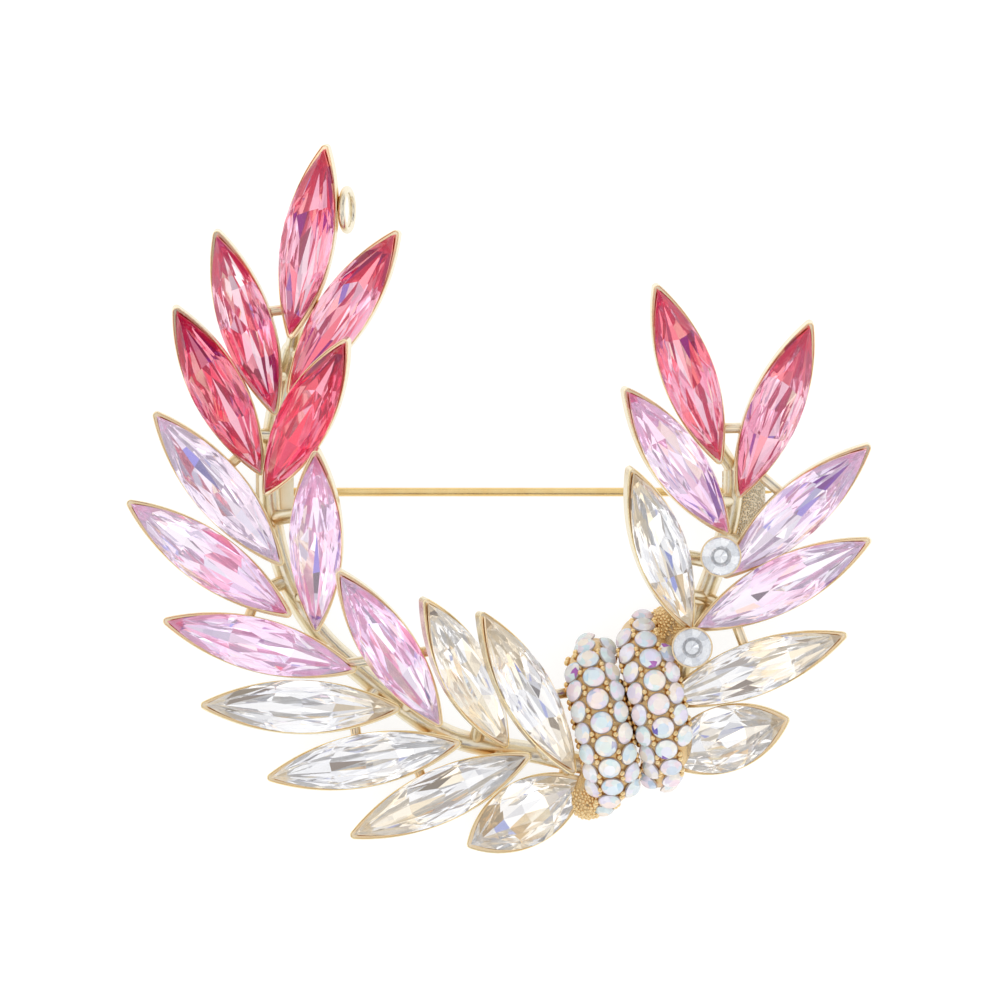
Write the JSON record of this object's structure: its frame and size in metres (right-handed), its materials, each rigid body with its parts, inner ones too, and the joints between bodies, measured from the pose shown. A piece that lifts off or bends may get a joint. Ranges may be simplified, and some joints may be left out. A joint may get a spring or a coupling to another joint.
{
  "type": "wreath brooch",
  "caption": "Open wreath brooch of long pointed crystals in pale gold cups on two stems, bound by a stone-set double knot, with a hinged pin behind.",
  "frame": {"origin": "centre of the brooch's outline, at the height of the surface it lies on", "axes": "+X to the right of the front view, +Y up the brooch to its open end, +Z out of its front"},
  "size_m": [0.0588, 0.056, 0.0149],
  "materials": {
    "pale_gold": "polished plating",
    "pin_gold": "polished plating",
    "pink_crystal": "foil-backed facets",
    "deep_pink_crystal": "foil-backed facets",
    "lilac_crystal": "foil-backed facets",
    "clear_crystal": "foil-backed facets",
    "aurora_crystal": "iridescent coat"
  },
  "bodies": {
    "brooch": {"left_wing_setting": "pale_gold", "right_wing_setting": "pale_gold", "knot": "pale_gold", "knot_stones": "aurora_crystal", "round_stone_1": "clear_crystal", "round_stone_2": "clear_crystal", "hinge_rivet": "pin_gold", "left_stone_01": "pink_crystal", "left_stone_02": "pink_crystal", "left_stone_03": "pink_crystal", "left_stone_04": "deep_pink_crystal", "left_stone_05": "deep_pink_crystal", "left_stone_06": "lilac_crystal", "left_stone_07": "lilac_crystal", "left_stone_08": "lilac_crystal", "left_stone_09": "lilac_crystal", "left_stone_10": "lilac_crystal", "left_stone_11": "clear_crystal", "left_stone_12": "clear_crystal", "left_stone_13": "clear_crystal", "left_stone_14": "clear_crystal", "left_stone_15": "clear_crystal", "left_stone_16": "clear_crystal", "right_stone_01": "pink_crystal", "right_stone_02": "pink_crystal", "right_stone_03": "lilac_crystal", "right_stone_04": "lilac_crystal", "right_stone_05": "lilac_crystal", "right_stone_06": "clear_crystal", "right_stone_07": "clear_crystal", "right_stone_08": "clear_crystal"},
    "pin": {"pin_stem": "pin_gold"}
  },
  "joints": [
    {"name": "pin_hinge", "type": "hinge", "parent": "brooch", "child": "pin", "pos_m": [-0.01769, 0.00057, 0.0011], "axis": [0, 1, 0], "range_deg": [0, 90]}
  ]
}
